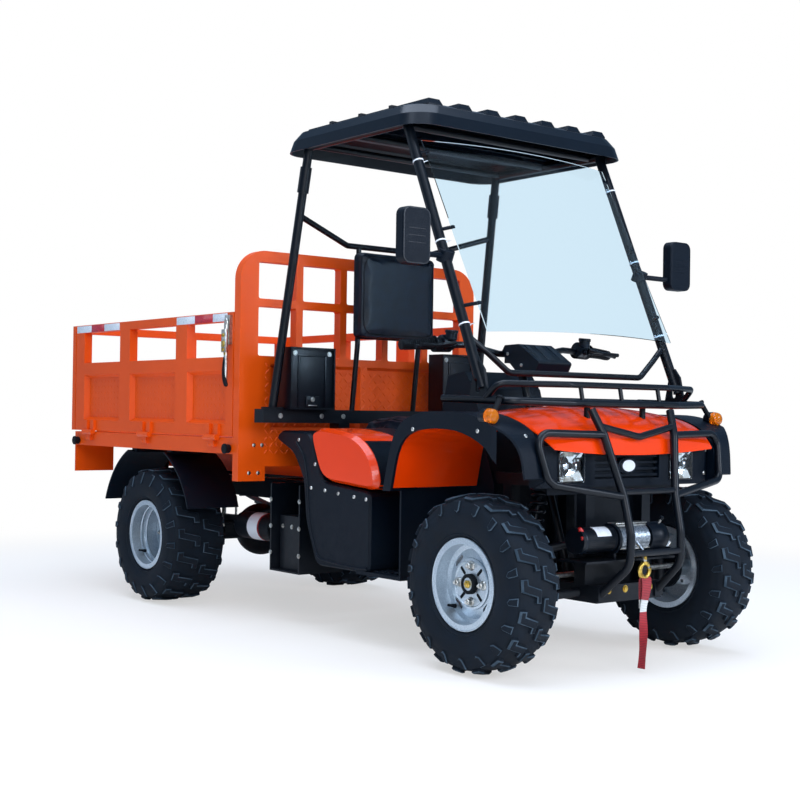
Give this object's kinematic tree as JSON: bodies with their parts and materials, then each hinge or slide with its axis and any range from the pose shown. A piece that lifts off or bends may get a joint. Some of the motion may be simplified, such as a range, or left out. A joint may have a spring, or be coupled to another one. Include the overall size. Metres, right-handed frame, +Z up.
{
  "type": "farm quad bike with canopy and tipping cargo bed",
  "caption": "Orange farm quad bike with a black canopy, clear windscreen, front rack, bull bar and winch, and a tipping cargo bed with drop sides.",
  "frame": {"origin": "on the ground under the middle of the machine", "axes": "+X forward, +Y to the rider's left, +Z up"},
  "size_m": [2.97, 1.348, 1.831],
  "materials": {
    "orange_paint": "gloss",
    "black_steel": "satin",
    "black_plastic": "matte",
    "cast_engine": "satin",
    "zinc_steel": "satin",
    "grip_rubber": "matte",
    "red_webbing": "matte",
    "lamp_lens": "gloss",
    "amber_lens": "gloss",
    "red_lens": "gloss",
    "seat_vinyl": "matte",
    "clear_screen": "gloss",
    "rim_silver": "satin",
    "tyre_rubber": "matte"
  },
  "bodies": {
    "chassis": {"frame": "black_steel", "engine": "cast_engine", "rear_axle": "black_steel", "leaf_springs": "black_steel", "front_arms": "black_steel", "front_shocks": "black_steel", "front_rack": "black_steel", "bumper": "black_steel", "winch": "black_steel", "winch_hook": "zinc_steel", "hook_strap": "red_webbing", "front_cowl": "orange_paint", "front_fenders": "black_plastic", "arch_liners": "orange_paint", "front_fascia": "black_plastic", "headlamps": "lamp_lens", "turn_signals": "amber_lens", "centre_cover": "black_plastic", "seat": "seat_vinyl", "footwells": "black_plastic", "side_fairings": "orange_paint", "cab_beam": "black_steel", "cab_pillars": "black_steel", "roof_rails": "black_steel", "dash_bar": "black_steel", "roof": "black_plastic", "windscreen": "clear_screen", "screen_clips": "black_plastic", "mirrors": "black_plastic", "backrest_frame": "black_steel", "backrest_pad": "seat_vinyl", "battery_trays": "black_steel", "power_pack": "black_steel"},
    "steering": {"handlebar": "black_steel", "handlebar_controls": "grip_rubber", "instrument_pod": "black_plastic"},
    "knuckle_left": {"knuckle_left": "black_steel"},
    "knuckle_right": {"knuckle_right": "black_steel"},
    "tie_rod": {"tie_rod": "zinc_steel"},
    "wheel_front_left": {"rim_front_left": "rim_silver", "tyre_front_left": "tyre_rubber"},
    "wheel_front_right": {"rim_front_right": "rim_silver", "tyre_front_right": "tyre_rubber"},
    "wheel_rear_left": {"rim_rear_left": "rim_silver", "tyre_rear_left": "tyre_rubber"},
    "wheel_rear_right": {"rim_rear_right": "rim_silver", "tyre_rear_right": "tyre_rubber"},
    "bed": {"bed_floor": "orange_paint", "bed_guard": "orange_paint", "tail_lamps": "red_lens", "mudguards": "black_plastic"},
    "side_left": {"bed_side_left": "orange_paint", "side_rails_left": "orange_paint", "side_latch_left": "zinc_steel"},
    "side_right": {"bed_side_right": "orange_paint", "side_rails_right": "orange_paint", "side_latch_right": "zinc_steel"},
    "tailgate": {"tailgate": "orange_paint", "gate_rails": "orange_paint"}
  },
  "joints": [
    {"name": "steer", "type": "hinge", "parent": "chassis", "child": "steering", "pos_m": [1.085, 0, 0.3], "axis": [-0.3307, 0, 0.9438], "range_deg": [-25, 25]},
    {"name": "knuckle_left_turn", "type": "hinge", "parent": "chassis", "child": "knuckle_left", "pos_m": [1.175, 0.366, 0.276], "axis": [0, 0, 1], "range_deg": [-26, 26]},
    {"name": "knuckle_right_turn", "type": "hinge", "parent": "chassis", "child": "knuckle_right", "pos_m": [1.175, -0.366, 0.276], "axis": [0, 0, 1], "range_deg": [-26, 26]},
    {"name": "tie_rod_slide", "type": "slide", "parent": "chassis", "child": "tie_rod", "axis": [0, 1, 0], "range_m": [-0.036, 0.036]},
    {"name": "wheel_front_left_spin", "type": "hinge", "parent": "knuckle_left", "child": "wheel_front_left", "pos_m": [1.175, 0.462, 0.276], "axis": [0, 1, 0], "continuous": true},
    {"name": "wheel_front_right_spin", "type": "hinge", "parent": "knuckle_right", "child": "wheel_front_right", "pos_m": [1.175, -0.462, 0.276], "axis": [0, 1, 0], "continuous": true},
    {"name": "wheel_rear_left_spin", "type": "hinge", "parent": "chassis", "child": "wheel_rear_left", "pos_m": [-0.775, 0.456, 0.276], "axis": [0, 1, 0], "continuous": true},
    {"name": "wheel_rear_right_spin", "type": "hinge", "parent": "chassis", "child": "wheel_rear_right", "pos_m": [-0.775, -0.456, 0.276], "axis": [0, 1, 0], "continuous": true},
    {"name": "bed_tilt", "type": "hinge", "parent": "chassis", "child": "bed", "pos_m": [-1.33, 0, 0.562], "axis": [0, -1, 0], "range_deg": [0, 45]},
    {"name": "side_left_drop", "type": "hinge", "parent": "bed", "child": "side_left", "pos_m": [-0.75, 0.592, 0.69], "axis": [-1, 0, 0], "range_deg": [0, 175]},
    {"name": "side_right_drop", "type": "hinge", "parent": "bed", "child": "side_right", "pos_m": [-0.75, -0.592, 0.69], "axis": [1, 0, 0], "range_deg": [0, 175]},
    {"name": "tailgate_drop", "type": "hinge", "parent": "bed", "child": "tailgate", "pos_m": [-1.474, 0, 0.69], "axis": [0, -1, 0], "range_deg": [0, 92]}
  ],
  "couplings": [
    {"joint": "knuckle_left_turn", "follows": "steer", "ratio": 1},
    {"joint": "knuckle_right_turn", "follows": "steer", "ratio": 1},
    {"joint": "tie_rod_slide", "follows": "steer", "m_per_rad": 0.08}
  ]
}
